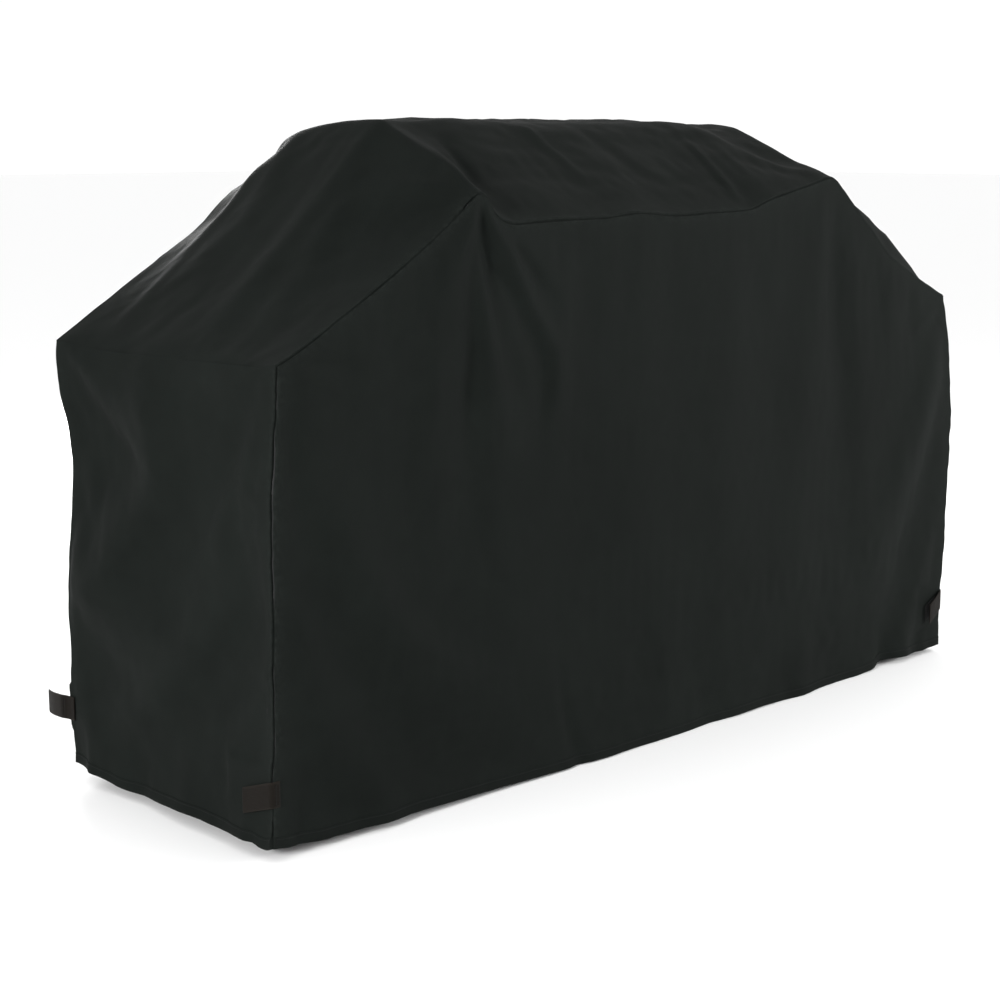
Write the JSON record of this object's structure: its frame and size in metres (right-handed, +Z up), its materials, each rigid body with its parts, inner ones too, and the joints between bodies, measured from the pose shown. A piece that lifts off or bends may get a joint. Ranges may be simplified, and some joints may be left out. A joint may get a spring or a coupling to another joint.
{
  "type": "grill cover",
  "caption": "Fitted charcoal cloth cover for a wide grill cart: raised crown, sloping shoulders, straight sides to a turned hem, hook-and-loop tab at each corner.",
  "frame": {"origin": "centre of the object's box on the plane of the lower hem edge", "axes": "+X towards the cover's right end, -Y its front, +Z up"},
  "size_m": [1.5636, 0.5718, 0.965],
  "materials": {
    "cover_cloth": "coated polyester cloth, matt with a faint sheen",
    "hem_cloth": "same coated cloth, turned twice and stitched",
    "seam_tape": "woven binding tape",
    "webbing": "woven webbing, brown-black",
    "hook_tape": "hook tape, stiff and finely pitted",
    "loop_tape": "loop tape, soft nap"
  },
  "bodies": {
    "cover": {"front_panel": "cover_cloth", "back_panel": "cover_cloth", "left_end_panel": "cover_cloth", "left_slope_panel": "cover_cloth", "top_panel": "cover_cloth", "right_slope_panel": "cover_cloth", "right_end_panel": "cover_cloth", "front_hem": "hem_cloth", "back_hem": "hem_cloth", "left_hem": "hem_cloth", "right_hem": "hem_cloth", "front_seam_binding": "seam_tape", "back_seam_binding": "seam_tape", "front_left_tab_anchor": "webbing", "front_left_loop_patch": "loop_tape", "back_left_tab_anchor": "webbing", "back_left_loop_patch": "loop_tape", "back_right_tab_anchor": "webbing", "back_right_loop_patch": "loop_tape", "front_right_tab_anchor": "webbing", "front_right_loop_patch": "loop_tape"},
    "front_left_tab": {"front_left_tab": "webbing", "front_left_hook_patch": "hook_tape"},
    "back_left_tab": {"back_left_tab": "webbing", "back_left_hook_patch": "hook_tape"},
    "back_right_tab": {"back_right_tab": "webbing", "back_right_hook_patch": "hook_tape"},
    "front_right_tab": {"front_right_tab": "webbing", "front_right_hook_patch": "hook_tape"}
  },
  "joints": [
    {"name": "front_left_tab_fold", "type": "hinge", "parent": "cover", "child": "front_left_tab", "pos_m": [-0.78105, -0.27934, 0.095], "axis": [0, 0, 1], "range_deg": [0, 240]},
    {"name": "back_left_tab_fold", "type": "hinge", "parent": "cover", "child": "back_left_tab", "pos_m": [-0.77875, 0.22446, 0.095], "axis": [0, 0, 1], "range_deg": [-73, 167]},
    {"name": "back_right_tab_fold", "type": "hinge", "parent": "cover", "child": "back_right_tab", "pos_m": [0.78105, 0.22216, 0.095], "axis": [0, 0, 1], "range_deg": [0, 240]},
    {"name": "front_right_tab_fold", "type": "hinge", "parent": "cover", "child": "front_right_tab", "pos_m": [0.77875, -0.28164, 0.095], "axis": [0, 0, 1], "range_deg": [-4, 236]}
  ]
}
